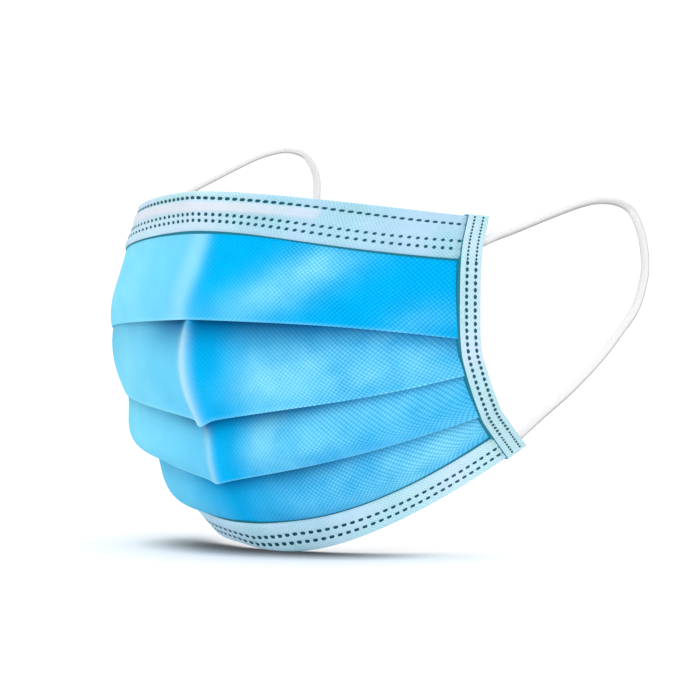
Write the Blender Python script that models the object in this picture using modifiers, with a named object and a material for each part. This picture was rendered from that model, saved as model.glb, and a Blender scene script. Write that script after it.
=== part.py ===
"""Pleated surgical face mask with ear loops, in the form that it takes when it is worn.

Metres, +Z up. The mask faces -Y, and the wearer's left is +X. The origin is the nose seat: the middle of the top
band's inner face, half way down the band. Rails run over the mask from its middle line to its sides: its edges, the
seams of its bands and the lips of its folds. Every piece takes its place from the skin that spans these rails.
"""

import math
from collections import namedtuple

import bpy
from mathutils import Vector

# Driving dimensions, in metres.
HALF_WIDTH = 0.0660  # middle line to the side bindings, where the mask is widest
DEPTH = 0.0630  # nose ridge back to the side bindings, at the top edge
FRONT_HEIGHT = 0.1135  # top edge to bottom edge, down the middle line

CLOTH_WALL = 0.0010
TAPE_WALL = 0.0010  # one leaf of a band or a binding
FIT_GAP = 0.0003  # clearance between pieces that touch
BINDING_WIDTH = 0.0106
BINDING_TURN = 87  # plan angle in degrees that the side bindings run back at
WIRE_WIDTH = 0.0034
WIRE_WALL = 0.0008
CORD_DIAMETER = 0.0028

# A tape folded over the cloth is two leaves, the cloth and a gap on each side of it.
LIP = TAPE_WALL + FIT_GAP  # how far a fold's lip stands over the cloth below it, level with the tapes
TAPE_THICKNESS = 2 * LIP + CLOTH_WALL
SKIN_TO_LINING = LIP + CLOTH_WALL
MIDDLE = TAPE_THICKNESS / 2
WIRE_DROP = MIDDLE + TAPE_WALL / 2 + FIT_GAP  # top edge down to the wire, inside the band's fold
CLOTH_DROP = WIRE_DROP + WIRE_WIDTH + FIT_GAP  # top edge down to the cloth, just under the wire

# Shares of the lengths above, and counts.
WIRE_REACH = 0.52  # how far along the top rail half the wire goes
SIDE_RELIEF = 0.35  # what is left of a lip where it meets the side binding
RELIEF_FADE = 0.72  # along a rail, where a lip begins to flatten
COLUMNS = 15
WIRE_COLUMNS = 8
TURN_STEPS = 4
LIP_RUN = 0.0004  # slope of a lip's underside
LIP_END = 0.0015  # a lip ends this far from the side binding

# One row for each rail. Back and drop are measured from the top edge at the nose, as shares of DEPTH and
# FRONT_HEIGHT, and out as a share of HALF_WIDTH. Turns are plan angles in degrees: 0 runs straight out, 90 straight
# back. Pulls are the lengths of the curve's two handles, as shares of the straight distance, and falls what the
# handles drop on the way, as shares of FRONT_HEIGHT. Rise is the slope of the side binding as it runs on from there.
Rail = namedtuple(
    "Rail",
    "ridge_back ridge_drop side_out side_back side_drop"
    " ridge_turn side_turn ridge_pull side_pull ridge_fall side_fall binding_rise",
)
RAILS = [
    Rail(0.000, 0.000, 0.950, 0.969, 0.063, 12, 81, 0.41, 0.47, 0.005, 0.020, -0.04),  # top edge
    Rail(0.007, 0.110, 1.012, 0.831, 0.187, 12, 72, 0.32, 0.66, 0.000, 0.030, -0.04),  # top band's seam
    Rail(-0.022, 0.354, 1.034, 0.798, 0.408, 12, 88, 0.43, 0.47, 0.008, 0.034, 0.00),  # first fold
    Rail(0.090, 0.641, 1.028, 0.856, 0.511, 10, 78, 0.37, 0.58, -0.047, -0.075, 0.20),  # second fold
    Rail(0.202, 0.814, 1.000, 1.004, 0.629, 11, 70, 0.33, 0.67, -0.050, -0.132, 0.34),  # third fold
    Rail(0.392, 0.937, 0.950, 1.175, 0.693, 11, 69, 0.14, 0.70, -0.014, -0.272, 0.42),  # bottom band's seam
    Rail(0.473, 1.000, 0.926, 1.322, 0.754, 11, 66, 0.15, 0.75, -0.011, -0.316, 0.46),  # bottom edge
]

# One row for each zone between two rails, from the top down. A swell is what the zone rounds outwards, as a share
# of DEPTH, at the ridge and over the cheeks. Belly is where down the zone it is greatest. Lift is how far the skin
# has risen from the tapes' inner leaf level to the lip, at the zone's upper and lower rail.
Zone = namedtuple("Zone", "name rows ridge_swell cheek_swell belly lift_top lift_bottom")
ZONES = [
    Zone("top_band", 1, 0.000, 0.000, 0.50, 0, 0),
    Zone("upper_panel", 4, 0.030, 0.030, 0.62, 0, 1),
    Zone("middle_panel", 5, 0.070, 0.034, 0.42, 0, 1),
    Zone("lower_panel", 4, 0.004, 0.088, 0.62, 0, 1),
    Zone("chin_panel", 4, 0.000, 0.085, 0.60, 0, 0),
    Zone("bottom_band", 1, 0.000, 0.000, 0.50, 0, 0),
]
TOP_BAND, BOTTOM_BAND = 0, len(ZONES) - 1

# Each ear loop's route, from its upper end on the side binding round to its lower end, in millimetres from the
# origin: out from the middle line, back and up.
CordPoint = namedtuple("CordPoint", "out back up")
LEFT_LOOP = [
    CordPoint(64.0, 64.6, -9.1),
    CordPoint(64.2, 69.6, -7.7),
    CordPoint(64.6, 78.2, -5.4),
    CordPoint(65.6, 96.6, -0.1),
    CordPoint(66.4, 111.0, 3.7),
    CordPoint(66.8, 120.8, 5.1),
    CordPoint(67.0, 131.0, 4.5),
    CordPoint(67.0, 138.6, 1.3),
    CordPoint(67.0, 144.0, -6.9),
    CordPoint(66.8, 146.0, -16.5),
    CordPoint(66.6, 144.6, -23.6),
    CordPoint(66.2, 140.9, -31.3),
    CordPoint(65.6, 133.0, -39.0),
    CordPoint(64.8, 123.6, -47.2),
    CordPoint(63.6, 109.6, -57.1),
    CordPoint(62.3, 96.0, -65.2),
    CordPoint(60.7, 86.4, -71.6),
]
RIGHT_LOOP = [
    CordPoint(64.0, 64.2, -10.2),
    CordPoint(65.2, 67.6, -8.8),
    CordPoint(69.8, 69.2, -4.4),
    CordPoint(75.4, 69.6, 2.4),
    CordPoint(78.8, 71.2, 8.4),
    CordPoint(78.6, 77.5, 11.7),
    CordPoint(77.4, 85.0, 15.1),
    CordPoint(75.6, 94.1, 19.3),
    CordPoint(74.0, 103.6, 23.3),
    CordPoint(72.8, 110.8, 25.4),
    CordPoint(71.8, 115.5, 26.2),
    CordPoint(70.8, 120.2, 26.0),
    CordPoint(70.2, 125.3, 24.3),
    CordPoint(69.6, 128.6, 20.5),
    CordPoint(69.0, 129.8, 16.2),
    CordPoint(68.4, 129.3, 10.2),
    CordPoint(67.0, 126.0, -12.0),
    CordPoint(65.2, 116.0, -32.0),
    CordPoint(63.4, 103.0, -52.0),
    CordPoint(62.0, 93.5, -64.5),
    CordPoint(60.7, 86.0, -70.6),
]
CORD_STEP = 2.2  # distance between the cord's points, in diameters


def mix(a, b, share):
    return a + (b - a) * share


def clear_scene():
    for thing in list(bpy.data.objects):
        bpy.data.objects.remove(thing, do_unlink=True)


def rail_handles(rail):
    """The four points of a rail's curve, from the ridge to the side binding's inner edge."""
    nose = Vector((0, -TAPE_THICKNESS, mix(0, FRONT_HEIGHT, RAILS[1].ridge_drop) / 2))
    ridge = nose + Vector((0, rail.ridge_back * DEPTH, -rail.ridge_drop * FRONT_HEIGHT))
    side = nose + Vector(
        (rail.side_out * HALF_WIDTH, rail.side_back * DEPTH, -rail.side_drop * FRONT_HEIGHT)
    )
    reach = (side - ridge).to_2d().length
    handles = []
    for turn, pull, fall in (
        (rail.ridge_turn, rail.ridge_pull, rail.ridge_fall),
        (rail.side_turn, rail.side_pull, rail.side_fall),
    ):
        angle = math.radians(turn)
        run = pull * reach
        handles.append(Vector((run * math.cos(angle), run * math.sin(angle), -fall * FRONT_HEIGHT)))
    return ridge, ridge + handles[0], side - handles[1], side


def rail_point(number, along):
    a, b, c, d = rail_handles(RAILS[number])
    rest = 1 - along
    return rest**3 * a + 3 * rest**2 * along * b + 3 * rest * along**2 * c + along**3 * d


def rail_direction(number, along):
    a, b, c, d = rail_handles(RAILS[number])
    rest = 1 - along
    return (rest**2 * (b - a) + 2 * rest * along * (c - b) + along**2 * (d - c)).normalized()


def binding_direction(number):
    """The way that the side binding runs on from a rail's end."""
    angle = math.radians(BINDING_TURN)
    return Vector((math.cos(angle), math.sin(angle), RAILS[number].binding_rise)).normalized()


def down_direction(number, along, out):
    """Down the skin at a rail, between the slopes of the zones above and below it."""
    around = [n for n in (number - 1, number, number + 1) if 0 <= n < len(RAILS)]
    places = [rail_point(n, along) + binding_direction(n) * out for n in around]
    down = Vector()
    for upper, lower in zip(places, places[1:]):
        down += (lower - upper).normalized()
    return down.normalized()


def rail_normal(number, along, out):
    """Outwards from the skin at a rail, or at the side binding past its end. Tapes that meet there are mitred."""
    onward = Vector()
    if out <= 0:
        onward += rail_direction(number, along)
    if along == 1 and out >= -FIT_GAP:
        onward += binding_direction(number)
    normal = down_direction(number, along, max(out, 0)).cross(onward).normalized()
    if along == 0:
        normal.x = 0
    return normal


def swell(zone, down, along):
    row = ZONES[zone]
    over_cheek = min(along / 0.5, 1)
    height = mix(row.ridge_swell, row.cheek_swell, over_cheek**2 * (3 - 2 * over_cheek)) * DEPTH
    rise = math.sin(math.pi * down ** (math.log(0.5) / math.log(row.belly)))
    return height * rise * (1 - along**3)


# Where a point lies: in which zone, how far down it between its rails, how far along them from the ridge at 0 to
# the side binding's inner edge at 1, how deep below the skin, and how far out past that edge, or back if negative.
Place = namedtuple("Place", "zone down along inset out", defaults=(0.0, 0.0))


def skin(place):
    """The point of the mask at this place."""
    points, normals = [], []
    for number in (place.zone, place.zone + 1):
        past_edge = place.out > 0
        onward = binding_direction(number) if past_edge else rail_direction(number, place.along)
        points.append(rail_point(number, place.along) + onward * place.out)
        normals.append(rail_normal(number, place.along, place.out))
    normal = normals[0].lerp(normals[1], place.down).normalized()
    height = swell(place.zone, place.down, place.along) if 0 < place.down < 1 else 0.0
    return points[0].lerp(points[1], place.down) + normal * (height - place.inset)


def zone_height(zone, along):
    return (rail_point(zone + 1, along) - rail_point(zone, along)).length


def material(name, colour, roughness):
    made = bpy.data.materials.new(name)
    made.use_nodes = True
    shader = made.node_tree.nodes["Principled BSDF"]
    shader.inputs["Base Color"].default_value = (*colour, 1)
    shader.inputs["Roughness"].default_value = roughness
    return made


def surface(name, rows, finish, flipped=False, side=1):
    """An open surface through rows of places on the left half, or its mirror image if side is -1.

    Each square is split along the diagonal that runs down and outwards, so that surfaces that lie close over each
    other are split alike and keep their gap.
    """
    width = len(rows[0])
    places = [place for row in rows for place in row]
    faces = []
    for r in range(len(rows) - 1):
        for c in range(width - 1):
            corner = r * width + c
            square = [corner, corner + width, corner + width + 1, corner + 1]
            start, end = places[square[0]], places[square[2]]
            lower = end.zone + end.down - start.zone - start.down
            further = end.along + end.out - start.along - start.out
            if lower * further < 0:
                square = square[1:] + square[:1]
            for face in ((square[0], square[1], square[2]), (square[0], square[2], square[3])):
                faces.append(face[::-1] if flipped != (side < 0) else face)
    points = [skin(place) for place in places]
    mesh = bpy.data.meshes.new(name)
    mesh.from_pydata([(side * p.x, p.y, p.z) for p in points], [], faces)
    mesh.materials.append(finish)
    piece = bpy.data.objects.new(name, mesh)
    parts.objects.link(piece)
    return piece


def mirror(piece):
    halves = piece.modifiers.new("Other half", "MIRROR")
    halves.use_mirror_merge = True
    halves.merge_threshold = 0.00001


def solidify(piece, thickness, offset):
    wall = piece.modifiers.new("Wall", "SOLIDIFY")
    wall.thickness = thickness
    wall.offset = offset
    return wall


def relief(along):
    """How much of a lip's height is left at this place along the rail."""
    fade = min(max((along - RELIEF_FADE) / (1 - RELIEF_FADE), 0), 1)
    return mix(1, SIDE_RELIEF, fade)


def body_columns():
    """Stations across half the body, as (along, out, relief), the last two inside the side binding."""
    columns = [(i / COLUMNS, 0.0, relief(i / COLUMNS)) for i in range(COLUMNS)]
    columns.append((1.0, -LIP_END, SIDE_RELIEF))
    columns.append((1.0, -FIT_GAP, 0.0))
    columns.append((1.0, BINDING_WIDTH - MIDDLE, 0.0))
    return columns


def body_rows(along):
    """Stations down the body at this place along the rails, as (zone, down, lift)."""
    rows = [(TOP_BAND, CLOTH_DROP / zone_height(TOP_BAND, along), 0.0)]
    for zone in range(TOP_BAND + 1, BOTTOM_BAND):
        row = ZONES[zone]
        start = LIP_RUN / zone_height(zone, along) if zone > TOP_BAND + 1 else 0.0
        for step in range(row.rows + 1):
            down = mix(start, 1, step / row.rows)
            rows.append((zone, down, mix(row.lift_top, row.lift_bottom, step / row.rows)))
    rows.append((BOTTOM_BAND, 1 - MIDDLE / zone_height(BOTTOM_BAND, along), 0.0))
    return rows


def build_body():
    """Three plies as one cloth with three folds that open downwards. Its lining is smooth, and its outer skin rises
    to each fold's lip and starts again under it."""
    columns = body_columns()
    stations = [body_rows(along) for along, _, _ in columns]
    lining, shares = [], []
    for r in range(len(stations[0])):
        line = []
        for (along, out, height), rows in zip(columns, stations):
            zone, down, lift = rows[r]
            line.append(Place(zone, down, along, SKIN_TO_LINING, out))
            shares.append((CLOTH_WALL + LIP * lift * height) / SKIN_TO_LINING)
        lining.append(line)
    body = surface("mask_body", lining, material("blue_cloth", (0.10, 0.50, 0.86), 0.75))
    thickness = body.vertex_groups.new(name="Thickness")
    for index, share in enumerate(shares):
        thickness.add([index], share, "REPLACE")
    mirror(body)
    wall = solidify(body, SKIN_TO_LINING, 1)
    wall.vertex_group = thickness.name


def folded_tape(leaf, cloth_edge):
    """The middle of a tape folded over an edge, as (distance from the edge, depth below the skin).

    Each leaf bends a little where the cloth inside it ends.
    """
    turn = MIDDLE - TAPE_WALL / 2
    profile = [(leaf, TAPE_WALL / 2), (cloth_edge, TAPE_WALL / 2)]
    for step in range(TURN_STEPS + 1):
        angle = math.pi * step / TURN_STEPS
        profile.append((MIDDLE - turn * math.sin(angle), MIDDLE - turn * math.cos(angle)))
    profile.append((cloth_edge, TAPE_THICKNESS - TAPE_WALL / 2))
    profile.append((leaf, TAPE_THICKNESS - TAPE_WALL / 2))
    return profile


def build_band(zone, finish):
    """A tape folded over the mask's top or bottom edge, between the side bindings."""
    columns = [(i / COLUMNS, 0.0) for i in range(COLUMNS)] + [(1.0, -FIT_GAP)]
    strips = []
    for along, out in columns:
        height = zone_height(zone, along)
        strip = []
        cloth_edge = CLOTH_DROP if zone == TOP_BAND else mix(MIDDLE, height, 0.5)
        for away, inset in folded_tape(height, cloth_edge):
            down = away / height if zone == TOP_BAND else 1 - away / height
            strip.append(Place(zone, down, along, inset, out))
        strips.append(strip)
    band = surface(ZONES[zone].name, strips, finish, flipped=zone == BOTTOM_BAND)
    mirror(band)
    solidify(band, TAPE_WALL, 0)


def build_side_binding(name, side, finish):
    """A tape folded over one side of the cloth, from the top edge to the bottom edge."""
    strips = []
    for zone in range(len(ZONES)):
        rows = max(ZONES[zone].rows, 2)
        for step in range(rows + (zone == BOTTOM_BAND)):
            strip = []
            for away, inset in folded_tape(BINDING_WIDTH, mix(MIDDLE, BINDING_WIDTH, 0.5)):
                strip.append(Place(zone, step / rows, 1.0, inset, BINDING_WIDTH - away))
            strips.append(strip)
    solidify(surface(name, strips, finish, True, side), TAPE_WALL, 0)


def build_nose_wire():
    """A flat wire that lies loose in the top band's fold, above the cloth's edge."""
    rows = []
    for drop in (WIRE_DROP, WIRE_DROP + WIRE_WIDTH):
        row = []
        for i in range(WIRE_COLUMNS + 1):
            along = WIRE_REACH * i / WIRE_COLUMNS
            row.append(Place(TOP_BAND, drop / zone_height(TOP_BAND, along), along, MIDDLE))
        rows.append(row)
    wire = surface("nose_wire", rows, material("wire", (0.86, 0.88, 0.90), 0.45))
    mirror(wire)
    solidify(wire, WIRE_WALL, 0)


def smooth_between(before, start, end, after, share):
    """A point between start and end, on a smooth curve that also passes through their neighbours."""
    return 0.5 * (
        2 * start
        + (end - before) * share
        + (2 * before - 5 * start + 4 * end - after) * share**2
        + (3 * start - before - 3 * end + after) * share**3
    )


def smooth_route(points, spacing):
    """Points at an even spacing on the smooth curve through the route's points."""
    dense = []
    for i in range(len(points) - 1):
        before = points[i - 1] if i else points[i] * 2 - points[i + 1]
        after = points[i + 2] if i + 2 < len(points) else points[i + 1] * 2 - points[i]
        start, end = points[i], points[i + 1]
        for step in range(20):
            dense.append(smooth_between(before, start, end, after, step / 20))
    dense.append(points[-1])
    lengths = [0.0]
    for a, b in zip(dense, dense[1:]):
        lengths.append(lengths[-1] + (b - a).length)
    count = round(lengths[-1] / spacing)
    even, place = [], 0
    for i in range(count + 1):
        wanted = lengths[-1] * i / count
        while place < len(dense) - 2 and lengths[place + 1] < wanted:
            place += 1
        share = (wanted - lengths[place]) / (lengths[place + 1] - lengths[place])
        even.append(dense[place].lerp(dense[place + 1], min(share, 1)))
    return even


def build_ear_loop(name, route, side, finish):
    """A round elastic cord, joined to the side binding near the mask's upper and lower corners."""
    points = [Vector((side * p.out, p.back, p.up)) / 1000 for p in route]
    points = smooth_route(points, CORD_STEP * CORD_DIAMETER)
    curve = bpy.data.curves.new(name, "CURVE")
    curve.dimensions = "3D"
    curve.bevel_depth = CORD_DIAMETER / 2
    curve.bevel_resolution = 2
    curve.use_fill_caps = True
    spline = curve.splines.new("POLY")
    spline.points.add(len(points) - 1)
    for knot, point in zip(spline.points, points):
        knot.co = (*point, 1)
    curve.materials.append(finish)
    parts.objects.link(bpy.data.objects.new(name, curve))


clear_scene()
parts = bpy.data.collections.new("surgical_face_mask")
bpy.context.scene.collection.children.link(parts)
tape = material("pale_tape", (0.72, 0.90, 0.95), 0.70)
elastic = material("white_elastic", (0.88, 0.88, 0.89), 0.80)
build_body()
build_band(TOP_BAND, tape)
build_band(BOTTOM_BAND, tape)
build_side_binding("side_binding_left", 1, tape)
build_side_binding("side_binding_right", -1, tape)
build_nose_wire()
build_ear_loop("ear_loop_left", LEFT_LOOP, 1, elastic)
build_ear_loop("ear_loop_right", RIGHT_LOOP, -1, elastic)
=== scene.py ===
"""Looks of the surgical face mask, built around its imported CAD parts.

Metres, +Z up. The mask faces -Y, the wearer's left is +X, and the origin is the nose seat, inside the
top band.
"""

import math
from collections import namedtuple

import bpy
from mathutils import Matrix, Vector


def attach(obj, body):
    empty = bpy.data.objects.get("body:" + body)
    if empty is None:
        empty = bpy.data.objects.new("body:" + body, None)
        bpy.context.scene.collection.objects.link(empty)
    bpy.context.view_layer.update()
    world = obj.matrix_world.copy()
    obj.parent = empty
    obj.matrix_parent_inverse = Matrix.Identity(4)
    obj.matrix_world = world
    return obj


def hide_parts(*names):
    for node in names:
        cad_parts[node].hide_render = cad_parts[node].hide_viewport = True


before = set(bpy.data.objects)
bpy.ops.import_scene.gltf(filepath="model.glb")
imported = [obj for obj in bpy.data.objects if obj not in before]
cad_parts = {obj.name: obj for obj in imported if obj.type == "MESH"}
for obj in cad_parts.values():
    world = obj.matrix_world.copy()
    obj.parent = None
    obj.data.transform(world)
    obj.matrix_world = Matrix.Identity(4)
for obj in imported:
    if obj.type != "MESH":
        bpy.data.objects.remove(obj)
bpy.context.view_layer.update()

# CAMERA
# It looks at the mask from its left front, level with the middle of the cloth, as in the photograph.
CAMERA_TARGET = Vector((0.04082, 0.02615, -0.0436))
CAMERA_DISTANCE = 0.9
CAMERA_AZIMUTH = math.radians(42)
CAMERA_ELEVATION = math.radians(1)


def placed(name, data):
    """A new object of this camera, mesh or light, at the origin."""
    made = bpy.data.objects.new(name, data)
    bpy.context.scene.collection.objects.link(made)
    return made


camera_data = bpy.data.cameras.new("camera")
camera_data.lens = 148.1
camera_data.sensor_width = 36
camera_data.clip_end = 20
camera = placed("camera", camera_data)
back_off = Vector(
    (
        math.sin(CAMERA_AZIMUTH) * math.cos(CAMERA_ELEVATION),
        -math.cos(CAMERA_AZIMUTH) * math.cos(CAMERA_ELEVATION),
        math.sin(CAMERA_ELEVATION),
    )
)
camera.location = CAMERA_TARGET + back_off * CAMERA_DISTANCE
camera.rotation_euler = (-back_off).to_track_quat("-Z", "Y").to_euler()
bpy.context.scene.camera = camera
bpy.context.scene.view_settings.view_transform = "Standard"

# EAR LOOPS
# Two lengths of slightly flat white elastic, knitted over a soft core. Each end is welded under the fold
# of a side tape, and the elastic leaves the fold near the mask's upper or lower corner.
CORD_DIAMETER = 0.0028
CORD_RIBS = 14  # knitted ribs round the elastic
CORD_SIDES = 3 * CORD_RIBS
RIB_RISE = 0.02  # how far a rib stands out, as a share of the radius
STITCH_PITCH = 0.0009
CORD_RING_STEP = 0.0011
CORD_COLOUR = (0.76, 0.76, 0.77)
# The colour of the elastic's painted shade, and the way that its shaded side faces.
CORD_SHADE_COLOUR = (0.34, 0.34, 0.35)
CORD_SHADE_SIDE = (0.47, 0.42, -0.77)  # which way its greyer side faces
CORD_THIN = 0.82  # how thick the elastic is, as a share of its width
CORD_TUCK = 0.005  # how far each end goes on inside the side tape's fold
UPPER_TUCK = (-0.0006, -0.96, -0.27)  # which way the left loop's upper end goes on
LOWER_TUCK = (0.0006, -0.86, -0.50)
CORD_SWELL = 0.006  # the length over which a pressed end grows to its full thickness
CORD_FLAT = 0.42  # how thick a pressed end is, and how wide
CORD_WIDE = 1.12
LEFT_LOOP = [
    (0.0640, 0.0646, -0.0091),
    (0.0642, 0.0696, -0.0077),
    (0.0646, 0.0782, -0.0054),
    (0.0656, 0.0966, -0.0001),
    (0.0664, 0.1110, 0.0037),
    (0.0668, 0.1208, 0.0051),
    (0.0670, 0.1310, 0.0045),
    (0.0670, 0.1386, 0.0013),
    (0.0670, 0.1440, -0.0069),
    (0.0668, 0.1460, -0.0165),
    (0.0666, 0.1446, -0.0236),
    (0.0662, 0.1409, -0.0313),
    (0.0656, 0.1330, -0.0390),
    (0.0648, 0.1236, -0.0472),
    (0.0636, 0.1096, -0.0571),
    (0.0623, 0.0960, -0.0652),
    (0.0607, 0.0864, -0.0716),
]
RIGHT_LOOP = [
    (-0.0640, 0.0642, -0.0102),
    (-0.0652, 0.0676, -0.0088),
    (-0.0698, 0.0692, -0.0044),
    (-0.0754, 0.0696, 0.0024),
    (-0.0788, 0.0712, 0.0084),
    (-0.0786, 0.0775, 0.0117),
    (-0.0774, 0.0850, 0.0151),
    (-0.0756, 0.0941, 0.0193),
    (-0.0740, 0.1036, 0.0233),
    (-0.0728, 0.1108, 0.0254),
    (-0.0718, 0.1155, 0.0262),
    (-0.0708, 0.1202, 0.0260),
    (-0.0702, 0.1253, 0.0243),
    (-0.0696, 0.1286, 0.0205),
    (-0.0690, 0.1298, 0.0162),
    (-0.0684, 0.1293, 0.0102),
    (-0.0670, 0.1260, -0.0120),
    (-0.0652, 0.1160, -0.0320),
    (-0.0634, 0.1030, -0.0520),
    (-0.0620, 0.0935, -0.0645),
    (-0.0607, 0.0860, -0.0706),
]


def smooth_between(before, start, end, after, share):
    """A point between start and end, on a smooth curve that also passes through their neighbours."""
    return 0.5 * (
        2 * start
        + (end - before) * share
        + (2 * before - 5 * start + 4 * end - after) * share**2
        + (3 * start - before - 3 * end + after) * share**3
    )


def fade(value, start, end):
    """0 up to start and 1 from end on, with a smooth rise between."""
    share = min(max((value - start) / (end - start), 0), 1)
    return share**2 * (3 - 2 * share)


def distances(points):
    """How far each point lies from the first one, along the line through them."""
    lengths = [0.0]
    for a, b in zip(points, points[1:]):
        lengths.append(lengths[-1] + (b - a).length)
    return lengths


def even_route(route, spacing):
    """Points at an even spacing on the smooth curve through the route's points."""
    points = [Vector(p) for p in route]
    dense = []
    for i in range(len(points) - 1):
        before = points[i - 1] if i else points[i] * 2 - points[i + 1]
        after = points[i + 2] if i + 2 < len(points) else points[i + 1] * 2 - points[i]
        for step in range(20):
            dense.append(smooth_between(before, points[i], points[i + 1], after, step / 20))
    dense.append(points[-1])
    lengths = distances(dense)
    count = round(lengths[-1] / spacing)
    even, place = [], 0
    for i in range(count + 1):
        wanted = lengths[-1] * i / count
        while place < len(dense) - 2 and lengths[place + 1] < wanted:
            place += 1
        share = (wanted - lengths[place]) / (lengths[place + 1] - lengths[place])
        even.append(dense[place].lerp(dense[place + 1], min(share, 1)))
    return even, lengths[-1]


def grid_piece(name, rows, finish, maps=None):
    """A smooth-shaded mesh through a grid of points. maps gives each point its place on the flat cloth."""
    width = len(rows[0])
    faces = []
    for start in range(0, (len(rows) - 1) * width, width):
        for c in range(start, start + width - 1):
            faces.append((c, c + 1, c + width + 1, c + width))
    mesh = bpy.data.meshes.new(name)
    mesh.from_pydata([tuple(p) for row in rows for p in row], [], faces)
    mesh.materials.append(finish)
    if maps:
        layer = mesh.uv_layers.new(name="Cloth")
        flat = [m for row in maps for m in row]
        for loop in mesh.loops:
            layer.data[loop.index].uv = flat[loop.vertex_index]
    for polygon in mesh.polygons:
        polygon.use_smooth = True
    return placed(name, mesh)


def feed(tree, socket, value):
    """Give an input a number or a colour, or link another node's output to it."""
    if hasattr(value, "is_output"):
        tree.links.new(value, socket)
    else:
        socket.default_value = (*value, 1) if socket.type == "RGBA" else value


def node(tree, kind, place, **values):
    """A new node at this place on the node sheet, with its settings and what its inputs are fed."""
    made = tree.nodes.new(kind)
    made.location = place
    for name, value in values.items():
        if hasattr(made, name):
            setattr(made, name, value)
        else:
            feed(tree, made.inputs[name.replace("_", " ")], value)
    return made


def math_node(tree, operation, place, *values, clamp=False):
    made = node(tree, "ShaderNodeMath", place, operation=operation, use_clamp=clamp)
    for socket, value in zip(made.inputs, values):
        feed(tree, socket, value)
    return made.outputs[0]


def ranged(tree, place, value, start, end, low=0.0, high=1.0, smooth=False):
    """Low where the value is at start, and high where it is at end."""
    made = node(
        tree,
        "ShaderNodeMapRange",
        place,
        interpolation_type="SMOOTHSTEP" if smooth else "LINEAR",
        Value=value,
        From_Min=start,
        From_Max=end,
        To_Min=low,
        To_Max=high,
    )
    return made.outputs["Result"]


def colour_mix(tree, place, share, first, second):
    made = node(tree, "ShaderNodeMix", place, data_type="RGBA")
    for index, value in ((0, share), (6, first), (7, second)):
        feed(tree, made.inputs[index], value)
    return made.outputs[2]


def scaled(tree, place, colour, brightness):
    made = node(tree, "ShaderNodeVectorMath", place, operation="SCALE", Scale=brightness)
    feed(tree, made.inputs[0], colour)
    return made.outputs[0]


def new_material(name, roughness, specular=0.5):
    made = bpy.data.materials.new(name)
    made.use_nodes = True
    shader = made.node_tree.nodes["Principled BSDF"]
    shader.inputs["Roughness"].default_value = roughness
    shader.inputs["Specular IOR Level"].default_value = specular
    return made, made.node_tree, shader


def dress(tree, shader, colour, height, strength, depth):
    """Give a material's shader its colour, and the fine relief that catches the light."""
    bump = node(tree, "ShaderNodeBump", (100, -160), Strength=strength, Distance=depth, Height=height)
    feed(tree, shader.inputs["Base Color"], colour)
    feed(tree, shader.inputs["Normal"], bump.outputs[0])


def elastic_material():
    """White knitted elastic: fine ribs run along it, crossed by the stitches of the knit, with painted shade
    in its grooves. Its underside is greyer with painted shade, most of all at its edge."""
    made, tree, shader = new_material("white_elastic", 0.8, 0.1)
    uv = node(tree, "ShaderNodeUVMap", (-1400, 0), uv_map="Cloth")
    split = node(tree, "ShaderNodeSeparateXYZ", (-1200, 0), Vector=uv.outputs["UV"])
    round_it = math_node(tree, "MULTIPLY", (-1000, 100), split.outputs["X"], CORD_RIBS * math.tau)
    ribs = math_node(tree, "SINE", (-820, 100), round_it)
    along = math_node(tree, "MULTIPLY", (-1000, -100), split.outputs["Y"], math.tau / STITCH_PITCH)
    zigzag = math_node(tree, "ADD", (-820, -100), along, math_node(tree, "ABSOLUTE", (-640, 60), ribs))
    stitches = math_node(tree, "SINE", (-640, -100), zigzag)
    height = math_node(tree, "MULTIPLY_ADD", (-460, 0), stitches, 0.6, ribs)
    # Painted shade: the knit is a little darker in its grooves.
    knit = scaled(tree, (-100, 160), CORD_COLOUR, ranged(tree, (-280, 160), height, -1.6, 1.6, 0.94, 1.03))
    coords = node(tree, "ShaderNodeTexCoord", (-1000, 500))
    # Painted shade: the elastic is greyer on its underside, most of all at its edge.
    toward = node(tree, "ShaderNodeVectorMath", (-800, 500), operation="DOT_PRODUCT")
    feed(tree, toward.inputs[0], coords.outputs["Normal"])
    feed(tree, toward.inputs[1], CORD_SHADE_SIDE)
    under = ranged(tree, (-600, 500), toward.outputs["Value"], 0.15, 0.75, smooth=True)
    weight = node(tree, "ShaderNodeLayerWeight", (-800, 760), Blend=0.5)
    edge = ranged(tree, (-600, 760), weight.outputs["Facing"], 0.25, 0.60)
    grey = math_node(tree, "MULTIPLY", (-300, 600), under, edge, clamp=True)
    colour = colour_mix(tree, (100, 160), grey, knit, CORD_SHADE_COLOUR)
    dress(tree, shader, colour, height, 0.15, 0.0001)
    return made


# How the elastic is twisted on its way, as (share of its length, degrees). At 0 it lies flat on the side
# tape.
LEFT_TWIST = [(0.0, 0), (0.30, 5), (0.50, 45), (0.72, 25), (1.0, 0)]
RIGHT_TWIST = [(0.0, 0), (0.10, 80), (0.55, 88), (0.85, 60), (1.0, 0)]


def twist_at(share, twist):
    for (a, from_turn), (b, to_turn) in zip(twist, twist[1:]):
        if share <= b:
            return math.radians(from_turn + (to_turn - from_turn) * fade(share, a, b))
    return 0.0


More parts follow.
